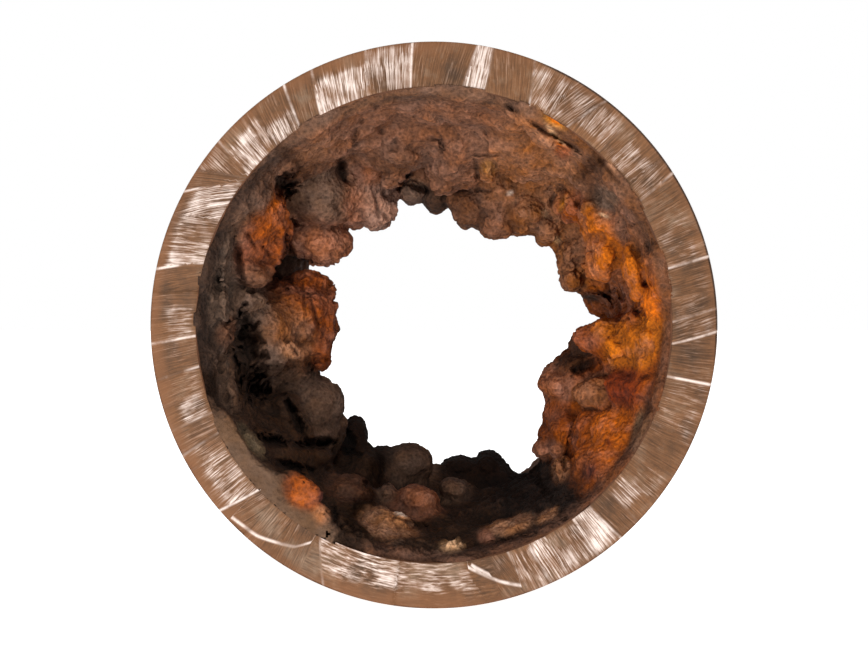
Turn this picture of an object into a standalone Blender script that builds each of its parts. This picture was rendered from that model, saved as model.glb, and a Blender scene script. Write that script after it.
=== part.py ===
# A sawn length of old cast-iron water main, choked inside by rust tubercles.
#
# Units are metres and +Z is up. The pipe lies on its side, as it would on a floor,
# with its axis along Y and the sawn end that shows towards -Y. The origin is on the
# floor, below the middle of the pipe.
#
# Places inside the bore are given by three values:
#   clock   degrees, counterclockwise from +X, as seen from in front of the sawn end
#   depth   distance behind the front sawn end
#   height  distance off the bore wall, towards the axis

import math
import random

import bmesh
import bpy
from mathutils import Matrix, noise

MM = 0.001

# Driving dimensions of the pipe
OUTER_DIAMETER = 122 * MM
WALL = 9.7 * MM
LENGTH = 150 * MM
EDGE_BREAK = 0.4 * MM
SIDES = 72

# Driving dimensions of the rust
SEAT_GAP = 0.3 * MM
LINING_START = 2.5 * MM
LINING_THICKNESS = 8.5 * MM
FIELD_PITCH = 11 * MM
FIELD_NODULE = 6.5 * MM
CHANNEL_CLOCK = 304
CHANNEL_HALF_WIDTH = 12
NOTCH_CLOCK = 4
NOTCH_HALF_WIDTH = 6
GRAIN = 1.7 * MM
ROUGHNESS_HEIGHT = 1.3 * MM
ROUGHNESS_SIZE = 7 * MM
CRUST_TRIANGLES = 14500

# Values that follow from them
OUTER_RADIUS = OUTER_DIAMETER / 2
BORE_RADIUS = OUTER_RADIUS - WALL
AXIS_HEIGHT = OUTER_RADIUS * math.cos(math.pi / SIDES)
FRONT = -LENGTH / 2
HALF_SIDE_TURN = math.pi / SIDES

# The lining of scale: depth behind the front sawn end in mm, and its share there of the
# lining's full thickness. Past the last row it keeps that share to the far end.
LINING = (
    (0, 0.19),
    (12, 0.42),
    (30, 0.76),
    (55, 1.0),
    (80, 0.85),
    (110, 0.55),
    (150, 0.31),
)

# The tubercles that give the bore its outline, and those in front of them.
# Each row: name, clock, depth, how far its crest stands off the bore wall, and its
# half sizes across the bore, along the pipe and off the wall. Lengths are in mm.
TUBERCLES = (
    # Brow across the top right
    ("brow_high", 66, 62, 26.9, 8.5, 13, 10),
    ("brow_middle", 53, 62, 23.8, 8, 14, 10),
    ("brow_right", 43, 62, 19.0, 7.5, 14, 10),
    ("brow_front", 66, 34, 14.0, 14, 15, 9),
    ("brow_root", 80, 40, 17.0, 13, 18, 10),
    ("front_lip", 59, 11, 5.5, 8, 5, 3),
    ("slope_corner", 41, 36, 11.8, 5, 8, 5),
    # Upper right, running down to the deep notch
    ("shoulder", 27, 65, 18.2, 7.5, 15, 10),
    ("shoulder_low", 18, 70, 17.4, 7, 12, 9),
    ("shoulder_front", 30, 32, 12.5, 11, 16, 8),
    ("notch_side", 10, 88, 12.5, 6, 14, 8),
    ("notch_floor", 4, 105, 8.0, 7, 14, 6),
    ("right_edge", 14, 22, 6.5, 10, 14, 5),
    ("column", 22, 28, 14.0, 5, 7, 5),
    ("grey_shelf", 29, 11, 4.4, 9, 6, 3),
    ("edge_triangle", 6, 9, 5.6, 4, 5, 3.5),
    # Right side: popcorn lumps over a steep slope of fresh rust
    ("popcorn_tip", 355, 36, 19.2, 5, 9, 9),
    ("popcorn_body", 356, 24, 12.0, 8, 11, 8),
    ("popcorn_edge", 358, 12, 7.0, 4.5, 6, 4),
    ("popcorn_low", 351, 16, 8.0, 4, 6, 4),
    ("popcorn_ridge", 349, 58, 18.5, 6, 13, 9),
    ("beak", 337, 58, 23.7, 7, 13, 10),
    ("beak_low", 330, 58, 21.0, 5.5, 13, 10),
    ("pink_boulder", 336, 34, 15.0, 7, 9, 8),
    ("red_shelf", 343, 20, 9.0, 9, 11, 6),
    ("fresh_slope", 323, 24, 9.5, 12, 16, 7),
    ("fresh_back", 321, 52, 16.5, 6, 14, 10),
    ("knob", 315, 60, 15.0, 4.6, 10, 8),
    ("low_ridge", 312, 36, 7.5, 3.5, 8, 4),
    # Bottom, left of the channel
    ("floor_dark", 291, 98, 16.0, 5.2, 9, 9),
    ("floor_twin", 281, 98, 16.6, 6.5, 10, 9),
    ("floor_back", 270, 94, 16.4, 7, 10, 9),
    ("floor_round", 257, 84, 20.6, 6.6, 8, 8),
    ("floor_left", 245, 78, 17.6, 6.5, 11, 9),
    ("floor_corner", 233, 88, 19.9, 8, 12, 10),
    ("grey_nodule", 277, 62, 14.5, 5, 6, 6),
    ("pink_nodule", 264, 42, 14.5, 6, 7, 7),
    ("rimmed_nodule", 244, 40, 13.0, 6, 8, 7),
    ("pebble", 255, 42, 12.2, 3, 5, 4.5),
    ("bright_flake", 256, 26, 7.5, 8, 9, 5),
    ("fragment", 275, 9, 4.4, 2.8, 3.5, 2.8),
    ("channel_flake", 301, 13, 4.0, 4, 5, 3),
    ("strata", 288, 22, 6.0, 14, 12, 4),
    ("strata_left", 270, 16, 5.0, 14, 10, 4),
    # Lower left: the smooth round nodule, and crust that the saw cut flush
    ("smooth_nodule", 213, 60, 22.6, 8.5, 9.5, 8.7),
    ("smooth_foot", 223, 62, 21.2, 7, 12, 9),
    ("lobe_pair", 216, 44, 15.5, 7, 8, 7),
    ("small_ellipsoid", 224, 34, 11.0, 4, 6, 5),
    ("low_knob", 229, 41, 12.6, 3.5, 6, 5),
    ("left_lamella", 196, 14, 5.2, 7, 6, 3.5),
    ("flush_high", 207, 2, 4.6, 10, 9, 4.2),
    ("flush_middle", 219, 2, 5.2, 9, 9, 4.6),
    ("flush_low", 229, 1, 9.0, 5.5, 9, 5.0),
    ("flush_end", 238, 2, 6.6, 9, 10, 5.0),
    # Left side: a large flaky lump that overhangs, and blocks beside it
    ("flaky_low", 199, 56, 22.0, 6, 11, 10),
    ("flaky_middle", 192, 53, 25.5, 7, 12, 10),
    ("flaky_top", 176, 50, 27.6, 8.5, 13, 11),
    ("flaky_front", 184, 38, 20.0, 10, 10, 9),
    ("left_gap", 158, 78, 18.2, 7, 12, 9),
    ("ribbed_nodule", 172, 30, 11.5, 7, 9, 6),
    ("left_block", 181, 17, 6.5, 7, 8, 4.5),
    ("orange_block", 150, 22, 13.0, 9.5, 10, 8),
    ("block_foot", 164, 22, 12.4, 4, 7, 6),
    ("left_column", 162, 11, 4.4, 7, 6, 3),
    ("left_column_low", 174, 11, 5.2, 5, 6, 3.5),
    # Top left
    ("left_brow", 145, 62, 22.7, 6, 12, 10),
    ("left_brow_high", 137, 60, 22.3, 6, 12, 10),
    ("round_boulder", 131, 44, 19.5, 7.5, 9, 8),
    ("shiny_lump", 118, 52, 24.2, 6, 9, 9),
    ("shiny_foot", 125, 54, 20.5, 5, 9, 8),
    ("top_cavity", 107, 76, 18.8, 6, 10, 9),
    ("small_nodule", 98, 63, 22.4, 5, 7, 7),
    ("dark_nodule", 88, 66, 23.2, 7, 10, 9),
    ("dark_brow", 78, 66, 22.6, 6.5, 12, 9),
    ("top_slab", 122, 28, 9.5, 11, 12, 6),
    ("top_mass", 100, 42, 16.0, 13, 16, 9),
    ("top_front", 88, 20, 7.0, 17, 12, 5),
)

# Finishes: sRGB colour, roughness, metallic
SAWN_IRON = ((0.42, 0.35, 0.30), 0.42, 0.9)
RUST = ((0.30, 0.17, 0.10), 0.93, 0.0)


def clear_scene():
    for obj in list(bpy.data.objects):
        bpy.data.objects.remove(obj, do_unlink=True)


def new_collection(name):
    collection = bpy.data.collections.new(name)
    bpy.context.scene.collection.children.link(collection)
    return collection


def new_material(name, finish):
    colour, roughness, metallic = finish
    material = bpy.data.materials.new(name)
    material.use_nodes = True
    shader = material.node_tree.nodes["Principled BSDF"]
    linear = [channel ** 2.2 for channel in colour]
    shader.inputs["Base Color"].default_value = (*linear, 1)
    shader.inputs["Roughness"].default_value = roughness
    shader.inputs["Metallic"].default_value = metallic
    return material


def new_object(name, mesh, collection):
    obj = bpy.data.objects.new(name, mesh)
    collection.objects.link(obj)
    return obj


def turned(name, profile, collection):
    """A ring turned round the pipe's axis from (radius, depth) points, outer side first."""
    shape = bmesh.new()
    corners = [shape.verts.new((radius, 0, depth)) for radius, depth in profile]
    for first, second in zip(corners, corners[1:] + corners[:1]):
        shape.edges.new((first, second))
    mesh = bpy.data.meshes.new(name)
    shape.to_mesh(mesh)
    shape.free()
    ring = new_object(name, mesh, collection)
    ring.rotation_euler = (-math.pi / 2, HALF_SIDE_TURN, 0)
    ring.location = (0, FRONT, AXIS_HEIGHT)
    screw = ring.modifiers.new("Turn", "SCREW")
    screw.steps = SIDES
    screw.render_steps = SIDES
    screw.use_merge_vertices = True
    screw.merge_threshold = 0.00001
    return ring


def pipe_wall(collection):
    """The iron tube, sawn square at both ends, with its sharp edges just broken."""
    near = EDGE_BREAK
    far = LENGTH - EDGE_BREAK
    profile = (
        (OUTER_RADIUS, far),
        (OUTER_RADIUS, near),
        (OUTER_RADIUS - EDGE_BREAK, 0),
        (BORE_RADIUS + EDGE_BREAK, 0),
        (BORE_RADIUS, near),
        (BORE_RADIUS, far),
        (BORE_RADIUS + EDGE_BREAK, LENGTH),
        (OUTER_RADIUS - EDGE_BREAK, LENGTH),
    )
    wall = turned("pipe_wall", profile, collection)
    wall.data.materials.append(new_material("sawn_cast_iron", SAWN_IRON))
    return wall


def lining_height(depth):
    """Thickness of the lining of scale at this depth."""
    before = LINING[0]
    for after in LINING[1:]:
        if depth <= after[0] * MM:
            way = (depth / MM - before[0]) / (after[0] - before[0])
            return LINING_THICKNESS * (before[1] + way * (after[1] - before[1]))
        before = after
    return LINING_THICKNESS * before[1]


def lining_ring(collection):
    """The continuous lining that every tubercle grows from. It runs past the bore wall."""
    steps = 30
    depths = [LINING_START + (LENGTH - LINING_START) * step / steps for step in range(steps + 1)]
    outer = BORE_RADIUS + WALL / 2
    profile = [(outer, LENGTH + GRAIN), (outer, LINING_START)]
    profile += [(BORE_RADIUS - lining_height(depth), depth) for depth in depths]
    profile.append((BORE_RADIUS - lining_height(LENGTH), LENGTH + GRAIN))
    return turned("lining", profile, collection)


def bore_place(clock, depth, height):
    """Turns and moves a shape whose X is off the wall, Y along and Z across the bore."""
    turn = Matrix.Rotation(-math.radians(clock), 4, "Y")
    inward = Matrix.Translation((BORE_RADIUS - height, 0, 0))
    return Matrix.Translation((0, FRONT + depth, AXIS_HEIGHT)) @ turn @ inward


def roughened(point):
    """Moves a point by the broad unevenness of rust."""
    sample = point / ROUGHNESS_SIZE
    return point + ROUGHNESS_HEIGHT * noise.noise_vector(sample)


def unit_ball():
    shape = bmesh.new()
    bmesh.ops.create_icosphere(shape, subdivisions=3, radius=1)
    mesh = bpy.data.meshes.new("unit_ball")
    shape.to_mesh(mesh)
    shape.free()
    return mesh


def add_nodule(shape, ball, clock, depth, crest, across, along, up):
    """One rounded lump of rust, set so that its crest stands off the bore wall by crest."""
    lump = ball.copy()
    lump.transform(bore_place(clock, depth, crest - up) @ Matrix.Diagonal((up, along, across, 1)))
    for vert in lump.vertices:
        vert.co = roughened(vert.co)
    shape.from_mesh(lump)
    bpy.data.meshes.remove(lump)


def add_root(shape, ball, clock, depth, crest, across, along, up):
    """The broader foot that carries a tall tubercle on the lining."""
    foot = crest - up
    if foot > up / 2:
        add_nodule(shape, ball, clock, depth, foot, across * 1.1, along * 1.1, foot * 0.75)


def tubercles(collection):
    shape = bmesh.new()
    ball = unit_ball()
    for _name, clock, depth, crest, across, along, up in TUBERCLES:
        if depth * MM < LENGTH:
            row = (depth * MM, crest * MM, across * MM, along * MM, up * MM)
            add_nodule(shape, ball, clock, *row)
            add_root(shape, ball, clock, *row)
    mesh = bpy.data.meshes.new("tubercles")
    shape.to_mesh(mesh)
    shape.free()
    return new_object("tubercles", mesh, collection)


def clock_between(first, second):
    """The smaller angle between two clock angles, in degrees."""
    return abs((first - second + 180) % 360 - 180)


def field_nodules(collection):
    """Small nodules all over the lining, left off the open channel and the deep notch."""
    chance = random.Random(4)
    shape = bmesh.new()
    ball = unit_ball()
    rows = int(LENGTH / FIELD_PITCH)
    around = int(2 * math.pi * BORE_RADIUS / FIELD_PITCH)
    for row in range(rows + 1):
        for place in range(around):
            clock = 360 * (place + chance.random() * 0.8) / around
            depth = FIELD_PITCH * (row + 0.2 + chance.random() * 0.6)
            size = FIELD_NODULE * (0.7 + 0.6 * chance.random())
            lift = size * chance.uniform(0.05, 0.45)
            if clock_between(clock, CHANNEL_CLOCK) < CHANNEL_HALF_WIDTH:
                continue
            if clock_between(clock, NOTCH_CLOCK) < NOTCH_HALF_WIDTH:
                continue
            if depth < LENGTH - size / 2:
                crest = lining_height(depth) + lift
                add_nodule(shape, ball, clock, depth, crest, size, size, size * 0.8)
    mesh = bpy.data.meshes.new("field_nodules")
    shape.to_mesh(mesh)
    shape.free()
    return new_object("field_nodules", mesh, collection)


def evaluated_mesh(obj):
    bpy.context.view_layer.update()
    graph = bpy.context.evaluated_depsgraph_get()
    return bpy.data.meshes.new_from_object(obj.evaluated_get(graph))


def joined(name, pieces, collection):
    """One object from the final shapes of several, which are removed."""
    shape = bmesh.new()
    for piece in pieces:
        mesh = evaluated_mesh(piece)
        mesh.transform(piece.matrix_world)
        shape.from_mesh(mesh)
        bpy.data.meshes.remove(mesh)
    mesh = bpy.data.meshes.new(name)
    shape.to_mesh(mesh)
    shape.free()
    for piece in pieces:
        bpy.data.objects.remove(piece, do_unlink=True)
    return new_object(name, mesh, collection)


def shells_of(shape):
    """The groups of faces that hang together, largest first."""
    left = set(shape.faces)
    shells = []
    while left:
        shell = set()
        reached = [left.pop()]
        while reached:
            face = reached.pop()
            shell.add(face)
            for edge in face.edges:
                for other in edge.link_faces:
                    if other in left:
                        left.remove(other)
                        reached.append(other)
        shells.append(shell)
    return sorted(shells, key=len, reverse=True)


def keep_largest_shell(obj):
    """Fills pockets sealed inside the rust, and drops crumbs that hold on to nothing."""
    shape = bmesh.new()
    shape.from_mesh(obj.data)
    for shell in shells_of(shape)[1:]:
        bmesh.ops.delete(shape, geom=list(shell), context="FACES")
    shape.to_mesh(obj.data)
    shape.free()


def bake_modifiers(obj):
    mesh = evaluated_mesh(obj)
    obj.modifiers.clear()
    obj.data = mesh


def bore_filler(collection):
    """The space inside the pipe that the rust may fill, clear of the wall by the seat gap."""
    shape = bmesh.new()
    bmesh.ops.create_cone(
        shape,
        cap_ends=True,
        segments=SIDES,
        radius1=BORE_RADIUS - SEAT_GAP,
        radius2=BORE_RADIUS - SEAT_GAP,
        depth=LENGTH,
    )
    mesh = bpy.data.meshes.new("bore_filler")
    shape.to_mesh(mesh)
    shape.free()
    filler = new_object("bore_filler", mesh, collection)
    filler.rotation_euler = (-math.pi / 2, HALF_SIDE_TURN, 0)
    filler.location = (0, 0, AXIS_HEIGHT)
    filler.hide_render = True
    filler.display_type = "WIRE"
    return filler


def rust_crust(collection, cutters):
    """The tuberculated rust that lines the bore, grown together into one brittle mass."""
    pieces = [lining_ring(cutters), tubercles(cutters), field_nodules(cutters)]
    crust = joined("rust_crust", pieces, collection)

    remesh = crust.modifiers.new("Grow together", "REMESH")
    remesh.mode = "VOXEL"
    remesh.voxel_size = GRAIN
    bake_modifiers(crust)
    keep_largest_shell(crust)

    crust.data.calc_loop_triangles()
    thin = crust.modifiers.new("Fewer faces", "DECIMATE")
    thin.ratio = min(1, CRUST_TRIANGLES / len(crust.data.loop_triangles))
    bake_modifiers(crust)

    inside = crust.modifiers.new("Inside the bore", "BOOLEAN")
    inside.operation = "INTERSECT"
    inside.object = bore_filler(cutters)
    bake_modifiers(crust)
    keep_largest_shell(crust)
    crust.data.materials.clear()
    crust.data.materials.append(new_material("rust", RUST))
    return crust


def main():
    clear_scene()
    pipe = new_collection("corroded_pipe")
    cutters = new_collection("cutters")
    wall = pipe_wall(pipe)
    wall.data.shade_smooth()
    rust_crust(pipe, cutters)


main()
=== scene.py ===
"""A sawn length of old water main, choked by rust, as seen square on to its sawn end.

Units are metres. The pipe's axis lies along Y, and the sawn end that the photograph
shows faces -Y. Lumps of rust are placed by the pixel where the photograph shows them
and by their depth behind the sawn end, and all of them grow out of the lining of scale.
Clock angles are degrees, counterclockwise from +X, as seen from in front.
"""

import math

import bpy
import numpy as np
from mathutils import Matrix, Vector


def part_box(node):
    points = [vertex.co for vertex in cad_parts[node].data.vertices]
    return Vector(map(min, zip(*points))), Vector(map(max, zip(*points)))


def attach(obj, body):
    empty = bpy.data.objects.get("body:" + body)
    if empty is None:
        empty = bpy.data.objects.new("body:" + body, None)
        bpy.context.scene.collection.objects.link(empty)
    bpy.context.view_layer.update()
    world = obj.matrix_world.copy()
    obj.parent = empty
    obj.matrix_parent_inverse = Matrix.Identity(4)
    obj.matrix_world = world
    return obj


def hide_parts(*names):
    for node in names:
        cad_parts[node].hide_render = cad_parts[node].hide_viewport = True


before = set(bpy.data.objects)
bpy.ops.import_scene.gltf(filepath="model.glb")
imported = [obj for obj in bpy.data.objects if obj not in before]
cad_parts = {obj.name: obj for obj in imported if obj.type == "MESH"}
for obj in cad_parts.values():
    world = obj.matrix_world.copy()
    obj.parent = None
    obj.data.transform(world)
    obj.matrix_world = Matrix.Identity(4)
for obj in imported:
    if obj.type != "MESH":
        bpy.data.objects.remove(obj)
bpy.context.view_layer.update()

MM = 0.001

# Sizes read from the frame
WALL_LOW, WALL_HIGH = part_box("pipe_wall")
CRUST_LOW, CRUST_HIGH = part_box("rust_crust")
SEAT_GAP = 0.3 * MM
OUTER_RADIUS = (WALL_HIGH[0] - WALL_LOW[0]) / 2
BORE_RADIUS = (CRUST_HIGH[0] - CRUST_LOW[0]) / 2 + SEAT_GAP
WALL = OUTER_RADIUS - BORE_RADIUS
FRONT = WALL_LOW[1]
BACK = WALL_HIGH[1]
AXIS = (WALL_LOW[2] + WALL_HIGH[2]) / 2
LENGTH = BACK - FRONT

# The photograph: its frame, and the sawn end's centre and outer radius in it
PHOTO_WIDTH = 868
PHOTO_CENTRE = (433.1, 324.8)
PHOTO_RADIUS = 283.6
CAMERA_DISTANCE = 420 * MM
PIXEL = OUTER_RADIUS / PHOTO_RADIUS
SENSOR = 36

# Iron wall: how finely it is divided, and how deep the saw and the sand mould marked it
TURNS = 720
EDGE_BREAK = 0.15 * MM
FACE_ROWS = 20
OUTSIDE_ROWS = 74
BORE_ROWS = 16
FACET_HEIGHT = 0.28 * MM
FACE_NEAR = 0.05 * MM
RIDGE_HEIGHT = 0.22 * MM
RIDGE_WIDTH = 0.5
EDGE_REACH = 1.2
CAST_ROUGHNESS = 0.7 * MM
SAWN_DARK = "#553c29"
SAWN_WARM = "#744e31"
SAWN_LIGHT = "#816650"
RIM_TINT = "#7a5032"
SCRATCH_GREY = "#9a7c68"
# Scratches: the grey is the bare metal's own colour, the white is a painted glint
SCRATCH_GLINT_WHITE = "#e2d0c6"
RIM_SHADE = "#2c2018"
# Painted shade for the rim's corner
SKIN_DARK = "#38261c"
SKIN_BROWN = "#6a4632"
SKIN_LIGHT = "#8a5a3b"
# What the wall's shape tells its material, point by point
FACE_MARKS = (
    "sawn", "tone_and_facet_shade", "scratched", "scratched_round", "lean", "edge_gap", "edge_bright",
    "ridge_gap", "ridge_bright", "rim_brown", "rim_shade",
)
# Cells per metre of the iron's noises: what bends the scratches, and how far; the scratches,
# by way round the ring and by radius, across the ring and round it; their patches; the mottled
# metal; the browned rim; the cast skin
WARP_CELLS = 200.0
WARP_REACH = 1.3
STROKE_CELLS = ((190.0, 165.0), (18.0, 2300.0))
PATCH_CELLS = 210.0
MOTTLE_CELLS = 110.0
RIM_CELLS = 130.0
SKIN_CELLS = 70.0
# Cells per metre of the rust's noises: blotches of about 4 mm, specks of half a mm, pits of
# 1 mm, and slow changes of hue
BLOTCH_CELLS = 240.0
SPECK_CELLS = 1700.0
PIT_CELLS = 1000.0
HUE_CELLS = 150.0

# Rust: the fineness of its surface, near the camera and in the far half of the bore,
# the depth where one takes over from the other, and how many triangles each piece has
FINE_GRAIN = 0.5 * MM
FAR_GRAIN = 1.0 * MM
FAR_START = 84 * MM
SECTOR_FACES = 135000
FAR_FACES = 80000
SHRINK = 1.0 * MM
PRESS = 0.5 * MM
# Clods that the scale crumbles into: their size, how far they stand out, their cracks
LARGE_CLOD = 6.0 * MM
LARGE_RISE = 1.05 * MM
SMALL_CLOD = 2.1 * MM
SMALL_RISE = 0.42 * MM
CRACK_DEPTH = 0.7 * MM
CLOD_JITTER = 0.45
CRACK_WIDTH = 0.16
HOLLOW_RAGGED = 0.45
# The solid's own surface: the fineness it is first remade with, how near the wall its back
# begins, and how far the back then sinks into the wall
BASE_GRAIN = 1.2 * MM
BACK_NEAR = 0.8 * MM
BACK_SINK = 2.5 * MM
# Between the lumps: the weight of the ground tint, and how coarsely the ground is broken up.
# How well stained patches and the bare strip cover what is under them.
GROUND_WEIGHT = 0.05
GROUND_COARSENESS = 0.9
PATCH_COVER = 1.4
BAND_COVER = 0.85
# Relief of the lumps, and later of their grain. Each row: name, size and height in mm, middle
# level, which points it is weighted by, what noise, how fine.
BROAD_RELIEF = (
    ("lump_shape", 7, 1.6, 0.5, "", "BLENDER_ORIGINAL", 1),
    ("cobbles", 6.5, -1.2, 0.4, "coarse", "VORONOI_F1", 0),
)
FINE_RELIEF = (
    ("knobs", 1.9, 0.5, 0.5, "coarse", "BLENDER_ORIGINAL", 2),
    ("grit", 0.9, 0.45, 0.5, "", "BLENDER_ORIGINAL", 2),
)
# How far a hollow reaches: beyond its own outline, as a share of it, and in depth in mm
HOLLOW_REACH = 1.35
HOLLOW_DEPTH = 9
# How a lump's share falls off round it: longer along the pipe, then how steeply
SHARE_DEPTH = 1.3
SHARE_STEEPNESS = 1.6
# The depth to which the saw's smooth cut reaches
CUT_DEPTH = 1.5 * MM
# The depth from which the rust, out of view, goes over to one plain tint
PLAIN_START = 100 * MM
PLAIN_SOFTNESS = 25 * MM
PLAIN_COVER = 0.8
# The bare strip of bore wall: the pixel radius where it starts, and the clock angle and half
# angle of the crust that the saw cut flush, where it doesn't show
BAND_INNER = 223
CUT_FLUSH = (224, 24)

# Rust as the eye sees it: sRGB colours of scale, from fresh to old and dry. The dark and black
# tints are painted shade, for rust deep in the bore, at its bottom and in the shade of other lumps
TINTS = {
    "brown": "#7d543f",
    "sienna": "#8f5c3c",
    "tan": "#926347",
    "umber": "#684532",
    "slate": "#5a4639",
    "grey": "#6f5545",
    # Painted shade: rust deep in the bore, at its bottom and under other lumps
    "dark": "#3a2517",
    "black": "#22130b",
    "pink": "#9e674d",
    "rust": "#8c4a2a",
    "orange": "#9a5128",
    "amber": "#b4642f",
    "bright": "#c4641f",
    "yellow": "#b46424",
    "ochre": "#a9713e",
    "cream": "#cfa27a",
    "red": "#6d2a12",
    "purple": "#4f241a",
    "silver": "#9e7866",
    "flake": "#b3805f",
    "moss": "#746048",
    "cut": "#664c39",
    "white": "#cdb8a8",
    "bare_top": "#5e4333",
    "bare_right": "#573723",
    "bare_left_shade": "#2b1a10",
    "bare_low": "#54382a",
}
# The ground tint and the bare wall's tint round the bore. The ground tint is darker from the
# lower left round to the bottom right, as painted shade; the bare wall's tint is partly its own
# colour and partly painted shade, darkest on the left. Each row: clock angle, tint.
GROUND = (
    (0, "rust"), (35, "sienna"), (60, "sienna"), (90, "brown"), (125, "umber"), (170, "slate"),
    (200, "dark"), (280, "dark"), (292, "black"), (309, "black"), (320, "orange"), (335, "rust"),
    (360, "rust"),
)
BAND = (
    (0, "bare_right"), (50, "bare_right"), (80, "bare_top"), (120, "bare_top"),
    (145, "bare_left_shade"), (200, "bare_left_shade"), (250, "bare_low"), (300, "bare_low"), (360, "bare_right"),
)

# Lumps of rust. Each row: name, pixel across and down, depth in mm, half sizes in pixels
# across and down, half depth in mm, turn in degrees, form, tint. A stain has no lump, and
# a patch is a stain that covers all other tints.
# In these rows a dark or black tint is painted shade, deep in the bore or under other lumps
TOP = (
    ("top_crust_left", 368, 130, 24, 40, 26, 22, 10, "stain", "brown"),
    ("top_crust_middle", 412, 126, 24, 40, 30, 24, 0, "stain", "brown"),
    ("top_crust_right", 462, 132, 26, 40, 30, 24, -10, "stain", "brown"),
    ("top_ledge", 398, 158, 38, 30, 15, 11, 8, "boulder", "umber"),
    ("top_ledge_right", 452, 172, 42, 28, 18, 12, -12, "boulder", "brown"),
    ("yellow_nodule", 487, 171, 33, 9, 10, 6, 0, "nodule", "sienna"),
    ("tan_boulder", 313, 132, 21, 28, 20, 9, 40, "flake", "tan"),
    ("tan_foot", 296, 158, 30, 17, 12, 8, 30, "boulder", "umber"),
    ("purple_boulder", 317, 192, 44, 22, 27, 9, 10, "nodule", "grey"),
    ("purple_foot", 312, 216, 50, 19, 15, 9, 0, "nodule", "brown"),
    ("shiny_lump", 376, 202, 52, 20, 25, 9, -10, "flake", "silver"),
    ("shiny_foot", 354, 208, 54, 16, 20, 9, 0, "boulder", "pink"),
    ("shiny_high", 372, 174, 48, 15, 12, 8, 0, "nodule", "pink"),
    ("small_round", 412, 192, 58, 12, 12, 6, 0, "nodule", "grey"),
    ("dark_nodule", 435, 196, 64, 15, 17, 8, 0, "nodule", "dark"),
    ("brow_first", 468, 208, 60, 20, 22, 10, 30, "boulder", "umber"),
    ("brow_second", 497, 220, 60, 22, 19, 10, 10, "boulder", "brown"),
    ("brow_third", 526, 212, 56, 22, 23, 10, 0, "boulder", "sienna"),
    ("brow_fourth", 545, 230, 58, 12, 14, 10, -20, "nodule", "sienna"),
    ("slope_high", 512, 158, 28, 34, 28, 22, -30, "stain", "sienna"),
    ("slope_middle", 548, 178, 32, 28, 28, 20, -40, "stain", "tan"),
    ("slope_low", 517, 192, 44, 30, 22, 20, -10, "stain", "sienna"),
    ("slope_corner", 572, 206, 36, 18, 16, 9, -50, "boulder", "rust"),
    ("pink_lip", 541, 139, 11, 17, 6, 5, -40, "nodule", "tan"),
    ("white_speck", 511, 190, 40, 5, 3, 12, 30, "patch", "white"),
    ("white_speck_low", 544, 212, 46, 4, 4, 12, 0, "patch", "cream"),
    ("white_speck_edge", 558, 239, 50, 4, 4, 12, 0, "patch", "cream"),
    ("yellow_patch", 552, 123, 5, 14, 5, 12, -30, "patch", "ochre"),
    ("yellow_spot", 553, 122, 5, 7, 3, 12, -30, "patch", "bright"),
    ("red_patch", 562, 150, 12, 11, 5, 12, -40, "patch", "orange"),
    # Painted highlight: a pale line where the edge below the crescent catches the light
    ("highlight_edge", 553, 137, 10, 16, 2, 12, -42, "patch", "cream"),
    ("nodule_light", 487, 168, 32, 8, 8, 10, 0, "patch", "ochre"),
    ("slate_boulder", 606, 198, 18, 16, 17, 12, -45, "patch", "grey"),
    ("light_crack", 607, 170, 10, 3, 12, 10, 38, "patch", "flake"),
    ("light_ledge", 601, 217, 24, 7, 2, 10, -25, "patch", "cream"),
    ("light_arch", 560, 205, 40, 3, 10, 10, -15, "patch", "ochre"),
    ("wall_band", 433, 96, 3, 110, 8, 6, 0, "stain", "umber"),
)
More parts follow.
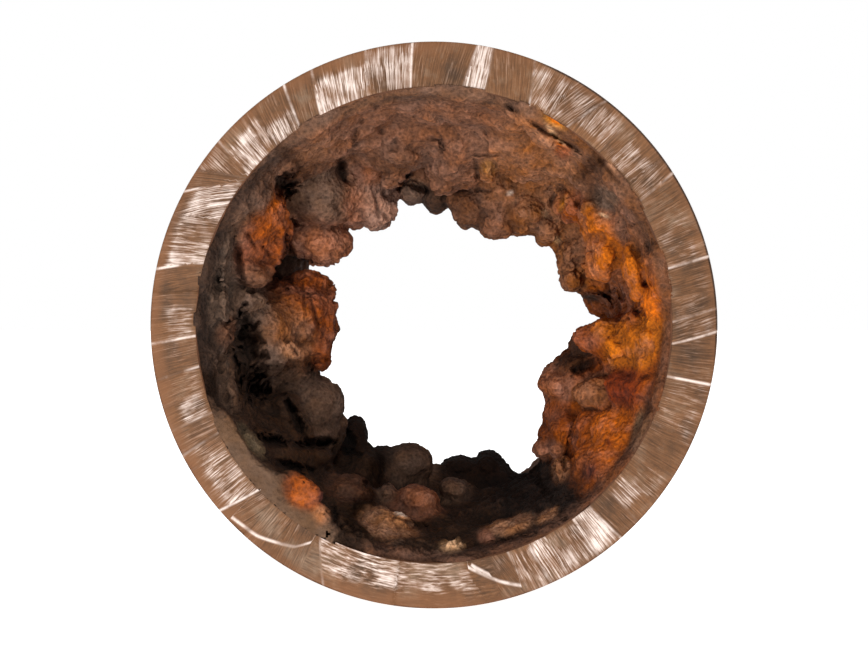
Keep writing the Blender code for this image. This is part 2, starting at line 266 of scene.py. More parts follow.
RIGHT = (
    ("grey_crust", 630, 216, 10, 17, 34, 12, 25, "stain", "brown"),
    ("grey_crust_high", 602, 176, 14, 22, 22, 12, 45, "stain", "umber"),
    ("column_top", 600, 222, 26, 18, 16, 9, 20, "boulder", "amber"),
    ("column", 602, 256, 28, 16, 28, 9, 5, "boulder", "amber"),
    ("light_stripe", 631, 272, 15, 9, 30, 6, 12, "nodule", "amber"),
    ("edge_nodule_high", 566, 256, 60, 12, 16, 9, 0, "boulder", "sienna"),
    ("edge_nodule_low", 570, 280, 64, 13, 13, 9, 0, "boulder", "sienna"),
    ("edge_nodule_far", 590, 292, 78, 11, 8, 8, 0, "nodule", "dark"),
    ("orange_triangle", 652, 301, 9, 11, 19, 5, 15, "boulder", "bright"),
    ("popcorn_outer", 650, 334, 12, 14, 20, 6, 0, "popcorn", "yellow"),
    ("popcorn_inner", 622, 346, 24, 20, 22, 8, 0, "popcorn", "yellow"),
    ("popcorn_tip", 603, 328, 34, 11, 10, 7, 0, "popcorn", "yellow"),
    ("popcorn_low", 643, 358, 16, 14, 11, 6, 0, "popcorn", "yellow"),
    ("tan_knob", 600, 345, 36, 10, 13, 6, 0, "nodule", "rust"),
    ("under_popcorn", 580, 344, 54, 12, 13, 8, 0, "boulder", "dark"),
    ("beak_top", 571, 362, 56, 18, 10, 10, 20, "boulder", "dark"),
    ("beak", 557, 384, 56, 17, 18, 10, 0, "boulder", "pink"),
    ("beak_low", 554, 413, 58, 13, 20, 10, 0, "nodule", "rust"),
    ("beak_foot", 550, 435, 60, 12, 16, 9, 0, "nodule", "rust"),
    ("pink_boulder", 593, 392, 36, 22, 15, 9, 10, "boulder", "sienna"),
    ("red_shelf", 627, 388, 20, 24, 20, 7, 10, "boulder", "red"),
    ("red_edge", 652, 396, 9, 10, 28, 8, -8, "stain", "rust"),
    ("bright_mass", 614, 434, 22, 24, 27, 9, -10, "nodule", "bright"),
    ("bright_mass_low", 608, 472, 18, 18, 24, 8, -25, "nodule", "bright"),
    ("bright_left", 584, 432, 34, 14, 24, 9, -10, "boulder", "rust"),
    ("purple_ridge", 585, 465, 28, 9, 16, 22, -20, "patch", "purple"),
    ("purple_spot", 604, 440, 22, 5, 6, 12, 0, "patch", "red"),
    ("beige_ridges", 567, 478, 36, 11, 26, 7, 32, "strata", "tan"),
    ("small_pink_low", 541, 449, 56, 9, 9, 6, 0, "nodule", "pink"),
    ("small_pink_high", 555, 448, 50, 9, 9, 6, 0, "nodule", "pink"),
    ("edge_slope", 594, 498, 8, 9, 13, 8, -30, "stain", "orange"),
    ("edge_slope_high", 640, 436, 8, 8, 30, 8, -15, "stain", "moss"),
)
BOTTOM = (
    ("far_dark", 487, 467, 99, 17, 17, 9, 0, "nodule", "black"),
    ("far_twin", 459, 467, 99, 22, 13, 9, 0, "nodule", "black"),
    ("channel_side", 532, 500, 46, 20, 12, 8, -20, "stain", "black"),
    ("round_nodule", 408, 463, 84, 25, 20, 9, 0, "nodule", "grey"),
    ("pink_nodule", 416, 500, 42, 23, 17, 8, 0, "nodule", "pink"),
    ("grey_nodule", 452, 489, 60, 15, 13, 7, 0, "nodule", "grey"),
    ("grey_pebble", 387, 492, 42, 9, 9, 5, 0, "nodule", "grey"),
    ("rimmed_nodule", 346, 492, 40, 20, 18, 8, 0, "nodule", "umber"),
    ("bright_flake", 387, 526, 19, 25, 15, 6, -12, "flake", "flake"),
    ("bright_flake_face", 386, 530, 16, 18, 8, 9, -12, "patch", "flake"),
    ("bright_flake_edge", 400, 514, 17, 12, 2, 9, -20, "patch", "white"),
    ("small_grey", 341, 525, 20, 7, 6, 4, 0, "nodule", "grey"),
    ("cream_fragment", 451, 549, 9, 11, 9, 4, 25, "flake", "cream"),
    ("pink_flake", 486, 537, 15, 7, 7, 4, 30, "nodule", "pink"),
    ("lamella", 512, 526, 18, 24, 8, 5, 12, "strata", "flake"),
    ("ochre_flake", 549, 518, 13, 12, 7, 4, 30, "nodule", "flake"),
    ("ochre_flake_low", 541, 536, 8, 11, 5, 4, 18, "nodule", "ochre"),
    ("strata_left", 395, 553, 8, 38, 7, 5, -8, "strata", "brown"),
    ("strata_middle", 450, 558, 8, 40, 6, 5, 0, "strata", "brown"),
    ("strata_right", 515, 547, 8, 38, 7, 5, 14, "strata", "brown"),
)
LOWER_LEFT = (
    ("smooth_nodule", 310, 405, 58, 35, 32, 9.5, 0, "nodule", "grey"),
    ("lobe_high", 283, 403, 46, 15, 12, 8, 0, "nodule", "dark"),
    ("lobe_low", 276, 425, 42, 17, 12, 7, 0, "boulder", "dark"),
    ("far_left", 354, 438, 88, 15, 22, 10, 0, "nodule", "black"),
    ("far_left_low", 381, 458, 86, 16, 14, 9, 0, "nodule", "black"),
    ("lamella_left", 226, 386, 14, 8, 33, 5, 10, "strata", "grey"),
    ("green_sliver", 250, 442, 9, 18, 6, 4, -50, "strata", "moss"),
    ("ellipsoid", 293, 452, 34, 14, 8, 6, -20, "nodule", "dark"),
    ("knob", 319, 456, 40, 11, 10, 6, 0, "nodule", "dark"),
    ("flush_high", 232, 446, 1, 14, 30, 3, 38, "cut", "cut"),
    ("flush_middle", 256, 486, 1, 18, 30, 3, 42, "cut", "cut"),
    ("flush_low", 296, 524, 1, 34, 16, 3, -30, "cut", "cut"),
    ("orange_block", 304, 491, 3, 18, 16, 5, -35, "boulder", "rust"),
    ("block_core", 301, 496, 2, 9, 9, 8, -35, "patch", "orange"),
    ("block_foot", 321, 513, 3, 9, 11, 6, 0, "patch", "tan"),
    ("red_side", 322, 496, 5, 5, 9, 6, 0, "patch", "purple"),
)
LEFT = (
    ("rust_block", 264, 236, 24, 24, 38, 9, -14, "flake", "rust"),
    ("rust_block_tip", 276, 218, 22, 13, 19, 7, -10, "flake", "orange"),
    ("rust_block_foot", 258, 276, 22, 15, 14, 7, 0, "boulder", "umber"),
    ("pink_lump", 318, 240, 52, 31, 22, 10, -10, "boulder", "pink"),
    ("ribbed_nodule", 252, 299, 26, 17, 11, 6, 0, "popcorn", "grey"),
    ("column_high", 221, 256, 11, 9, 32, 5, -8, "strata", "slate"),
    ("column_low", 219, 302, 11, 9, 22, 5, 0, "strata", "slate"),
    ("left_block", 225, 331, 17, 9, 14, 5, 0, "boulder", "umber"),
    ("flaky_top", 303, 300, 50, 28, 28, 11, 0, "flake", "rust"),
    ("flaky_middle", 290, 330, 44, 28, 34, 10, 10, "flake", "sienna"),
    ("flaky_tip", 321, 318, 50, 13, 30, 9, 0, "flake", "rust"),
    ("light_flake", 288, 349, 35, 11, 7, 4, -30, "flake", "flake"),
    ("flaky_grey", 276, 362, 44, 20, 22, 12, 0, "stain", "grey"),
    ("flaky_bump", 321, 352, 52, 10, 20, 8, 0, "flake", "rust"),
    ("upper_ledge", 250, 188, 18, 12, 22, 8, -35, "stain", "umber"),
)

# Pits, cracks and hollows. Each row: name, pixel across and down, depth in mm, half sizes
# in pixels across and down, how deep it goes in mm, turn in degrees.
HOLLOWS = (
    ("top_pit_high", 374, 105, 10, 5, 2, 1.5, 0),
    ("top_pit_left", 360, 121, 16, 4, 3, 1.5, 10),
    ("top_pit_tall", 354, 136, 20, 3, 8, 3, -10),
    ("top_pit_middle", 381, 131, 22, 3, 3, 1.5, 0),
    ("top_pit_right", 395, 140, 28, 3, 4, 2, 0),
    ("hook_notch", 440, 143, 30, 3, 9, 2.5, 15),
    ("hook_notch_side", 434, 139, 30, 7, 2, 1.5, -5),
    ("top_crack", 484, 131, 22, 2, 8, 1.2, 30),
    ("nodule_side", 475, 166, 34, 2, 10, 2, 5),
    ("nodule_top", 490, 155, 32, 12, 2, 1.5, 2),
    ("dark_spot", 480, 190, 44, 7, 2, 2, -10),
    ("left_gap", 280, 181, 36, 13, 16, 12, 10),
    ("boulder_gap", 340, 163, 40, 4, 17, 5, 12),
    ("shiny_crack", 376, 205, 44, 2, 12, 2, 10),
    ("shiny_crack_low", 384, 216, 44, 2, 7, 1.5, 40),
    ("top_cavity", 403, 175, 54, 6, 11, 8, 0),
    ("top_cavity_side", 418, 187, 56, 8, 4, 4, -20),
    ("crescent_first", 511, 108, 7, 7, 3, 3, -30),
    ("crescent_second", 537, 126, 7, 14, 2.5, 3, -34),
    ("crescent_third", 566, 143, 7, 16, 2.5, 3, -30),
    ("slope_crack", 606, 168, 8, 2, 18, 1.2, 40),
    ("arch", 570, 188, 42, 15, 3, 3, 5),
    ("arch_side", 552, 200, 42, 3, 10, 2.5, -20),
    ("arch_low", 578, 204, 34, 7, 4, 3, -20),
    ("block_crack", 250, 240, 18, 2, 12, 2, 28),
    ("block_crack_low", 266, 252, 20, 2, 8, 2, 30),
    ("block_side", 286, 262, 40, 5, 24, 8, 0),
    ("block_left", 238, 262, 22, 4, 22, 4, 8),
    ("pink_shadow", 297, 264, 48, 18, 6, 8, 12),
    ("left_cavity", 248, 350, 32, 12, 31, 12, 12),
    ("left_cavity_low", 253, 388, 34, 12, 13, 11, 20),
    ("nodule_foot", 317, 443, 46, 18, 5, 10, 5),
    ("flaky_crack_left", 303, 296, 42, 2, 14, 2, 6),
    ("flaky_crack_middle", 313, 312, 44, 2, 18, 2.5, 15),
    ("flaky_crack_right", 322, 330, 44, 2, 14, 2, -8),
    ("flake_shadow", 294, 351, 38, 2, 7, 2.5, 35),
    ("flaky_hollow", 308, 366, 48, 6, 9, 6, 10),
    ("lobe_gap", 294, 417, 48, 4, 22, 9, 25),
    ("lobe_foot", 268, 440, 36, 16, 5, 8, -10),
    ("ellipsoid_foot", 292, 466, 30, 20, 4, 6, -10),
    ("block_edge", 334, 516, 10, 3, 9, 5, 5),
    ("cut_pit", 309, 530, 0, 2, 2, 2, 0),
    ("lower_dark", 345, 440, 80, 8, 16, 6, 30),
    ("grey_crust_pit", 647, 246, 6, 4, 5, 2, 0),
    ("grey_crust_ledge", 632, 224, 10, 9, 2, 1.5, 10),
    ("right_cavity", 603, 298, 48, 18, 9, 6, 0),
    ("triangle_top", 648, 283, 9, 5, 3, 3, 35),
    ("triangle_side", 637, 312, 16, 5, 4, 4, 30),
    ("beak_hollow", 586, 366, 46, 15, 5, 4, 28),
    ("shelf_crack", 590, 409, 30, 14, 2, 2.5, -6),
    ("shelf_gap", 646, 376, 12, 9, 2, 2, 20),
    ("mass_edge", 567, 447, 40, 2, 20, 3, -12),
    ("floor_gap", 372, 482, 46, 14, 5, 6, 10),
    ("flake_gap", 412, 524, 30, 18, 3, 3, -12),
    ("strata_gap", 500, 541, 10, 36, 2, 2, 12),
    ("strata_gap_low", 420, 566, 4, 46, 2, 2, 2),
)

# The sawn face, ground in facets. Each row: the clock angles where the facet starts at the
# bore and at the rim, its tone (partly its own, partly painted light and shade for its tilt),
# how strongly it is scratched, the shares of the wall where the scratches start and end
# counted from the bore, and how bright its starting edge is, as metal with a painted glint.
FACETS = (
    (0.7, 3.5, 1.0, 0.35, 0.0, 0.9, 0.5),
    (6.0, 7.0, 0.9, 0.10, 0.0, 1.0, 0.0),
    (13.6, 14.0, 1.12, 0.50, 0.0, 0.9, 0.8),
    (19.0, 19.5, 1.03, 0.40, 0.0, 0.95, 0.1),
    (24.5, 25.0, 0.9, 0.12, 0.0, 1.0, 0.0),
    (31.0, 32.5, 1.05, 0.52, 0.0, 0.9, 0.6),
    (36.0, 36.0, 1.15, 0.68, 0.0, 0.85, 0.1),
    (43.5, 43.0, 1.0, 0.25, 0.0, 1.0, 0.0),
    (46.5, 46.0, 1.15, 0.62, 0.1, 1.0, 0.2),
    (56.1, 52.4, 1.05, 0.48, 0.0, 1.0, 0.7),
    (61.0, 60.0, 1.2, 0.68, 0.0, 1.0, 0.0),
    (66.5, 69.1, 1.05, 0.2, 0.0, 1.0, 0.8),
    (77.9, 77.5, 1.2, 1.00, -0.1, 1.2, 0.3),
    (83.1, 81.0, 0.9, 0.06, 0.0, 0.6, 0.6),
    (95.7, 94.4, 1.06, 0.68, -0.1, 1.1, 0.9),
    (106.0, 104.0, 1.15, 0.95, -0.2, 0.85, 0.7),
    (118.3, 115.6, 0.85, 0.05, 0.0, 1.0, 0.9),
    (124.2, 122.0, 0.97, 0.72, -0.1, 0.6, 0.9),
    (131.5, 130.0, 1.0, 0.62, 0.0, 0.9, 0.1),
    (134.0, 133.0, 1.1, 0.98, -0.1, 0.85, 0.2),
    (140.6, 139.5, 0.92, 0.45, 0.3, 1.1, 0.8),
    (142.0, 147.0, 0.82, 0.12, 0.0, 1.0, 0.2),
    (143.6, 151.9, 1.06, 0.9, -0.1, 0.9, 0.8),
    (154.0, 157.0, 0.95, 0.65, -0.1, 0.95, 0.1),
    (160.0, 162.0, 1.08, 0.9, -0.1, 0.95, 0.1),
    (164.9, 168.6, 0.84, 0.05, 0.0, 1.0, 0.9),
    (172.0, 173.5, 0.98, 0.35, 0.0, 0.8, 0.0),
    (175.5, 176.5, 1.04, 0.65, 0.0, 0.8, 0.1),
    (182.6, 183.9, 0.88, 0.12, 0.0, 0.8, 0.8),
    (190.0, 191.3, 0.98, 0.40, 0.0, 0.85, 0.7),
    (196.0, 197.0, 1.02, 0.62, 0.0, 0.8, 0.1),
    (201.5, 202.0, 0.88, 0.12, 0.0, 1.0, 0.3),
    (206.5, 207.5, 0.98, 0.45, 0.0, 0.9, 0.4),
    (210.5, 211.0, 1.05, 0.75, 0.0, 0.9, 0.2),
    (223.3, 220.9, 0.88, 0.15, 0.0, 0.8, 0.9),
    (228.0, 228.0, 0.95, 0.32, 0.1, 0.8, 0.1),
    (234.0, 235.0, 0.86, 0.06, 0.0, 1.0, 0.0),
    (241.5, 247.0, 1.1, 0.78, -0.2, 0.8, 0.5),
    (262.0, 262.0, 1.02, 0.62, -0.1, 0.8, 0.0),
    (277.0, 281.0, 0.92, 0.20, 0.0, 1.0, 0.0),
    (288.0, 289.5, 1.08, 0.66, 0.0, 1.2, 0.6),
    (293.0, 294.5, 1.12, 0.88, -0.1, 1.2, 0.9),
    (297.5, 298.0, 1.0, 0.68, 0.0, 1.1, 0.3),
    (305.5, 305.5, 1.15, 1.00, -0.1, 1.1, 0.6),
    (310.5, 311.2, 0.88, 0.15, 0.0, 1.0, 0.8),
    (316.5, 316.0, 1.08, 0.68, 0.0, 0.8, 0.2),
    (321.5, 321.0, 1.0, 0.50, 0.2, 1.0, 0.0),
    (327.0, 327.0, 0.9, 0.12, 0.0, 1.0, 0.0),
    (336.0, 336.0, 1.04, 0.50, 0.0, 1.0, 0.1),
    (344.0, 344.5, 0.98, 0.35, 0.0, 1.0, 0.1),
    (347.6, 347.8, 0.86, 0.08, 0.0, 1.0, 0.9),
    (355.5, 358.7, 0.98, 0.40, 0.0, 1.0, 0.7),
)
# Between these clock angles the grinder ran round the ring instead of across it
GROUND_ROUND = (241.5, 284.0)
# Curved burrs, shown as lighter bare metal with a painted glint. Each row: how bright, then clock angle
# and share of the wall along it.
RIDGES = (
    (0.8, ((223.3, 0.9), (230.2, 0.81), (234.1, 0.67), (237.9, 0.52), (240.9, 0.21))),
    (1.0, ((277.8, 0.12), (281.5, 0.38), (284.5, 0.59), (289.0, 0.83))),
    (1.0, ((278.6, 0.08), (280.8, 0.25), (283.0, 0.42))),
)
# How brown the rim is. Each row: clock angle, strength.
RIM_BROWN = (
    (0, 0.3), (60, 0.3), (80, 0.6), (88, 1.0), (118, 0.8), (135, 0.6), (160, 0.4), (168, 1.0),
    (225, 1.0), (240, 0.6), (255, 1.0), (280, 0.9), (292, 0.2), (360, 0.3),
)
# Painted shade on the rim's corner, from the right to the top
RIM_SHADE_SPAN = (-8.0, 70.0)


def linear(code):
    """The linear colour of an sRGB hex code."""
    parts = [int(code[place:place + 2], 16) / 255 for place in (1, 3, 5)]
    return [part / 12.92 if part <= 0.04045 else ((part + 0.055) / 1.055) ** 2.4 for part in parts]


def seen(across, down, depth):
    """The place that the photograph shows at this pixel, at a depth behind the sawn end."""
    scale = PIXEL * (CAMERA_DISTANCE + depth) / CAMERA_DISTANCE
    return Vector((
        (across - PHOTO_CENTRE[0]) * scale,
        FRONT + depth,
        AXIS + (PHOTO_CENTRE[1] - down) * scale,
    ))


def deselect():
    bpy.ops.object.select_all(action="DESELECT")


def pick(*objects):
    """Only these are selected, and the first is the active one."""
    deselect()
    for obj in objects:
        obj.select_set(True)
    bpy.context.view_layer.objects.active = objects[0]


def apply_modifier(obj, kind, **settings):
    pick(obj)
    modifier = obj.modifiers.new(kind.title(), kind)
    for name, value in settings.items():
        setattr(modifier, name, value)
    bpy.ops.object.modifier_apply(modifier=modifier.name)


def displace(obj, look, height, middle=0.5, group=""):
    """Raises and sinks the surface by a texture that fills space."""
    apply_modifier(
        obj,
        "DISPLACE",
        texture=look,
        texture_coords="GLOBAL",
        strength=height,
        mid_level=middle,
        vertex_group=group,
    )


def texture(name, kind, size, **settings):
    made = bpy.data.textures.new(name, kind)
    made.noise_scale = size
    for setting, value in settings.items():
        setattr(made, setting, value)
    return made


def join(name, pieces):
    pick(*pieces)
    bpy.ops.object.join()
    whole = bpy.context.view_layer.objects.active
    bpy.ops.object.transform_apply(location=True, rotation=True, scale=True)
    whole.name = name
    whole.data.name = name
    return whole


def vertex_places(obj):
    places = np.empty(len(obj.data.vertices) * 3)
    obj.data.vertices.foreach_get("co", places)
    return places.reshape(-1, 3)


def set_places(obj, places):
    obj.data.vertices.foreach_set("co", places.ravel())
    obj.data.update()


def set_attribute(obj, name, values):
    layer = obj.data.attributes.new(name, "FLOAT", "POINT")
    layer.data.foreach_set("value", values)


def set_group(obj, name, weights, levels=12):
    """A vertex group whose weights are rounded to a few levels."""
    group = obj.vertex_groups.new(name=name)
    steps = np.rint(np.clip(weights, 0, 1) * levels).astype(int)
    for level in range(1, levels + 1):
        group.add(np.nonzero(steps == level)[0].tolist(), level / levels, "REPLACE")


def clock_and_radius(places):
    aside = places[:, 0]
    above = places[:, 2] - AXIS
    return np.degrees(np.arctan2(above, aside)) % 360, np.hypot(aside, above)


def clock_away(clock, middle):
    return (clock - middle + 180) % 360 - 180


def ball(place, size, turn, fineness=3):
    """A lump started as a ball, with its half sizes across, along the pipe and up."""
    bpy.ops.mesh.primitive_ico_sphere_add(
        subdivisions=fineness,
        radius=1,
        location=place,
        rotation=(0, -math.radians(turn), 0),
        scale=size,
    )
    return bpy.context.object


def slice_flat(obj, place, facing):
    """Breaks a piece off along a plane and closes the break."""
    pick(obj)
    bpy.ops.object.mode_set(mode="EDIT")
    bpy.ops.mesh.select_all(action="SELECT")
    bpy.ops.mesh.bisect(plane_co=place, plane_no=facing, use_fill=True, clear_outer=True)
    bpy.ops.object.mode_set(mode="OBJECT")


def stain(place, size, turn, chance):
    """Only a colour on the crust."""
    return []


def nodule(place, size, turn, chance):
    """One smooth lump, or crust that the saw cut flush with the end of the pipe."""
    return [ball(place, size, turn)]


def boulder(place, size, turn, chance):
    """Two or three lumps grown into one, off centre from each other."""
    lumps = [ball(place, size, turn)]
    for _ in range(2):
        aside = Vector(chance.uniform(-0.5, 0.5, 3)) * Vector(size).length * 0.6
        smaller = [side * chance.uniform(0.45, 0.7) for side in size]
        lumps.append(ball(place + aside, smaller, turn + chance.uniform(-40, 40)))
    return lumps


def flake(place, size, turn, chance):
    """A lump broken along a few flat planes, as brittle scale breaks."""
    lump = ball(place, [side * 1.12 for side in size], turn)
    for _ in range(6):
        facing = Vector((chance.uniform(-1, 1), chance.uniform(-1.2, -0.3), chance.uniform(-1, 1)))
        facing.normalize()
        reach = Vector([facing[axis] * size[axis] for axis in range(3)]).length
        slice_flat(lump, place + facing * reach * chance.uniform(0.62, 0.85), facing)
    return [lump]


def popcorn(place, size, turn, chance):
    """A crowd of small round nodules."""
    lumps = [ball(place, [side * 0.8 for side in size], turn)]
    for _ in range(16):
        way = Vector((chance.uniform(-1, 1), chance.uniform(-1, 0.3), chance.uniform(-1, 1)))
        way.normalize()
        aside = Vector([way[axis] * size[axis] * 0.8 for axis in range(3)])
        radius = min(size) * chance.uniform(0.28, 0.5)
        lumps.append(ball(place + aside, (radius, radius, radius), 0, 2))
    return lumps


def strata(place, size, turn, chance):
    """Plates of scale on edge, one behind another, on a common core."""
    across = Matrix.Rotation(-math.radians(turn), 3, "Y")
    thin = 0 if size[0] < size[2] else 2
    core = [side * 0.8 for side in size]
    plates = [ball(place + Vector((0, size[1] * 0.6, 0)), core, turn)]
    for step in (-0.7, 0, 0.7):
        offset = Vector((0, 0, 0))
        offset[thin] = step * size[thin]
        offset[1] = chance.uniform(-0.4, 0.4) * size[1]
        plate = list(size)
        plate[thin] = max(size[thin] * 0.3, 0.5 * MM)
        plate[2 - thin] = size[2 - thin] * chance.uniform(0.8, 1.05)
        plates.append(ball(place + across @ offset, plate, turn + chance.uniform(-5, 5)))
    return plates


# Each form: the function that makes it, and how rough its surface is, from 0 to 1
FORMS = {
    "stain": (stain, 0.8),
    "patch": (stain, 0.8),
    "nodule": (nodule, 0.3),
    "cut": (nodule, 0.05),
    "boulder": (boulder, 0.8),
    "flake": (flake, 0.9),
    "popcorn": (popcorn, 0.6),
    "strata": (strata, 0.7),
}


def lump_place(row):
    _name, across, down, depth, wide, tall, deep = row[:7]
    place = seen(across, down, depth * MM)
    scale = PIXEL * (CAMERA_DISTANCE + depth * MM) / CAMERA_DISTANCE
    return place, (wide * scale, deep * MM, tall * scale)


def make_lumps(rows, chance):
    pieces = []
    for row in rows:
        place, size = lump_place(row)
        pieces += FORMS[row[8]][0](place, size, row[7], chance)
    return pieces


def crust_copy(name, low_depth, high_depth, clock=None, half_turn=None):
    """A copy of the solid crust between two depths and, if asked, within a sector."""
    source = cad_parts["rust_crust"]
    copy = source.copy()
    copy.data = source.data.copy()
    copy.parent = None
    copy.matrix_world = Matrix.Identity(4)
    copy.name = name
    bpy.context.scene.collection.objects.link(copy)
    copy.hide_viewport = False
    copy.hide_render = False
    copy.hide_set(False)
    pick(copy)
    bpy.ops.object.mode_set(mode="EDIT")
    bpy.ops.mesh.select_all(action="SELECT")
    bpy.ops.mesh.remove_doubles(threshold=0.00001)
    bpy.ops.object.mode_set(mode="OBJECT")
    if low_depth > 0:
        slice_flat(copy, (0, FRONT + low_depth, 0), (0, -1, 0))
    if high_depth < LENGTH:
        slice_flat(copy, (0, FRONT + high_depth, 0), (0, 1, 0))
    if clock is not None:
        for side in (-1, 1):
            edge = math.radians(clock + side * half_turn)
            facing = (-side * math.sin(edge), 0, side * math.cos(edge))
            slice_flat(copy, (0, 0, AXIS), facing)
    return copy


def thin_base(obj):
    """Sinks the rust's own surface a little, and gives its back to the wall more depth."""
    places = vertex_places(obj)
    radius = clock_and_radius(places)[1]
    backs = radius > BORE_RADIUS - BACK_NEAR
    wanted = np.where(backs, BORE_RADIUS + BACK_SINK, np.minimum(radius + SHRINK, BORE_RADIUS))
    grow = wanted / np.maximum(radius, MM)
    places[:, 0] *= grow
    places[:, 2] = AXIS + (places[:, 2] - AXIS) * grow
    set_places(obj, places)


def keep_in_pipe(obj):
    """Presses the rust flat where it meets the pipe's wall and where the saw cut it."""
    places = vertex_places(obj)
    places[:, 1] = np.clip(places[:, 1], FRONT, BACK)
    radius = clock_and_radius(places)[1]
    squeeze = np.minimum(1, (BORE_RADIUS + PRESS) / np.maximum(radius, 1e-6))
    places[:, 0] *= squeeze
    places[:, 2] = AXIS + (places[:, 2] - AXIS) * squeeze
    set_places(obj, places)


def random_vectors(cells, seed):
    """Three numbers from -1 to 1 for each whole-numbered cell, the same at every run."""
    mixed = cells @ np.array((12.9898, 78.233, 37.719)) + seed * 7.13
    spread = np.sin(mixed[:, None] * np.array((1.0, 1.37, 1.91))) * 43758.5453
    return 2 * (spread - np.floor(spread)) - 1


def clods(places, size, seed):
    """Breaks space into angular clods. For each point: how far its clod's flat face stands
    out, from -1 to 1, and how near it is to the crack round the clod, from 0 to 1."""
    grid = places / size
    home = np.floor(grid)
    nearest = np.full(len(places), np.inf)
    second = nearest.copy()
    rise = np.zeros(len(places))
    for step in np.ndindex(3, 3, 3):
        cell = home + np.array(step) - 1
        away = grid - cell - 0.5 - CLOD_JITTER * random_vectors(cell, seed)
        distance = (away ** 2).sum(axis=1)
        tilt = random_vectors(cell, seed + 50)
        face = (away * tilt).sum(axis=1) + 0.5 * tilt[:, 0]
        closer = distance < nearest
        second = np.where(closer, nearest, np.minimum(second, distance))
        rise = np.where(closer, face, rise)
        nearest = np.where(closer, distance, nearest)
    crack = np.clip(1 - (np.sqrt(second) - np.sqrt(nearest)) / CRACK_WIDTH, 0, 1)
    return rise, crack


def vertex_normals(obj):
    normals = np.empty(len(obj.data.vertices) * 3)
    obj.data.vertices.foreach_get("normal", normals)
    return normals.reshape(-1, 3)


def break_into_clods(obj, coarse):
    """Large clods and small ones with cracks between them, as scale dries and crumbles."""
    places = vertex_places(obj)
    normals = vertex_normals(obj)
    small, small_crack = clods(places, SMALL_CLOD, 2)
    ragged = places + normals * (small * 0.3 * SMALL_CLOD)[:, None]
    large, large_crack = clods(ragged + small[:, None] * 0.12 * LARGE_CLOD, LARGE_CLOD, 1)
    cracked = np.clip(large * 1.5 + 0.5, 0, 1)
    height = coarse * (large * LARGE_RISE + small * SMALL_RISE)
    height -= coarse * (large_crack * cracked * CRACK_DEPTH + small_crack * 0.3 * CRACK_DEPTH)
    places += normals * height[:, None]
    set_places(obj, places)


def carve(obj):
    """Sinks each hollow into the surface, straight away from where the photograph was taken.
    Its outline follows the clods around it."""
    places = vertex_places(obj)
    ragged = clods(places, SMALL_CLOD, 5)[0] * HOLLOW_RAGGED
    eye = np.array((0, FRONT - CAMERA_DISTANCE, AXIS))
    for _name, across, down, depth, wide, tall, deep, turn in HOLLOWS:
        ray = places - eye
        scale = PIXEL * ray[:, 1] / CAMERA_DISTANCE
        right = ray[:, 0] / scale + PHOTO_CENTRE[0] - across
        up = ray[:, 2] / scale + down - PHOTO_CENTRE[1]
        lean = math.radians(turn)
        first = (right * math.cos(lean) + up * math.sin(lean)) / wide
        second = (up * math.cos(lean) - right * math.sin(lean)) / tall
        behind = (places[:, 1] - FRONT) / MM - depth
        edge = np.hypot(first, second) + ragged
        share = np.clip(HOLLOW_REACH - edge, 0, 1) * (np.abs(behind) < deep + HOLLOW_DEPTH)
        push = share * deep * MM
        places += ray / ray[:, 1:2] * push[:, None]
    set_places(obj, places)


def neighbour_average(values, ends, count):
    total = np.zeros_like(values)
    for axis in range(values.shape[1]):
        total[:, axis] = np.bincount(ends[:, 0], values[ends[:, 1], axis], len(values))
        total[:, axis] += np.bincount(ends[:, 1], values[ends[:, 0], axis], len(values))
    return total / count[:, None]


def add_relief(obj):
    """Stores how far each point stands out of, or lies in, the surface around it."""
    mesh = obj.data
    places = vertex_places(obj)
    ends = np.empty(len(mesh.edges) * 2, np.int64)
    mesh.edges.foreach_get("vertices", ends)
    ends = ends.reshape(-1, 2)
    count = np.maximum(np.bincount(ends.ravel(), minlength=len(places)), 1)
    normals = vertex_normals(obj)
    smooth = places.copy()
    for name, rounds in (("fine_relief", 4), ("broad_relief", 34)):
        for _ in range(rounds):
            smooth = neighbour_average(smooth, ends, count)
        set_attribute(obj, name, ((places - smooth) * normals).sum(axis=1) / MM)


def lump_share(places, row):
    """How much of each point belongs to this lump, from 1 in its middle to 0 far away."""
    centre, size = lump_place(row)
    away = places - np.array(centre)
    lean = math.radians(row[7])
    first = (away[:, 0] * math.cos(lean) + away[:, 2] * math.sin(lean)) / size[0]
    second = (away[:, 2] * math.cos(lean) - away[:, 0] * math.sin(lean)) / size[2]
    third = away[:, 1] / (size[1] * SHARE_DEPTH)
    return np.exp(-SHARE_STEEPNESS * (first ** 2 + second ** 2 + third ** 2) ** 1.5)


def band_share(places):
    """How far each point belongs to the strip of bore wall that the crust leaves almost bare:
    it shows between the sawn face and the crust, but not where the saw cut the crust flush."""
    clock, radius = clock_and_radius(places)
    distance = places[:, 1] - FRONT + CAMERA_DISTANCE
    pixels = radius / (PIXEL * distance / CAMERA_DISTANCE)
    away = np.abs(clock_away(clock, CUT_FLUSH[0]))
    return np.clip((pixels - BAND_INNER) / 7, 0, 1) * np.clip((away - CUT_FLUSH[1]) / 8, 0, 1)


def tints_round(rows, clock):
    """The tint of each clock angle, between those of the rows."""
    clocks = [row[0] for row in rows]
    tints = np.array([linear(TINTS[row[1]]) for row in rows])
    return np.column_stack([np.interp(clock, clocks, tints[:, part]) for part in range(3)])


def cover(tint, over, share):
    return tint * (1 - share[:, None]) + over * share[:, None]


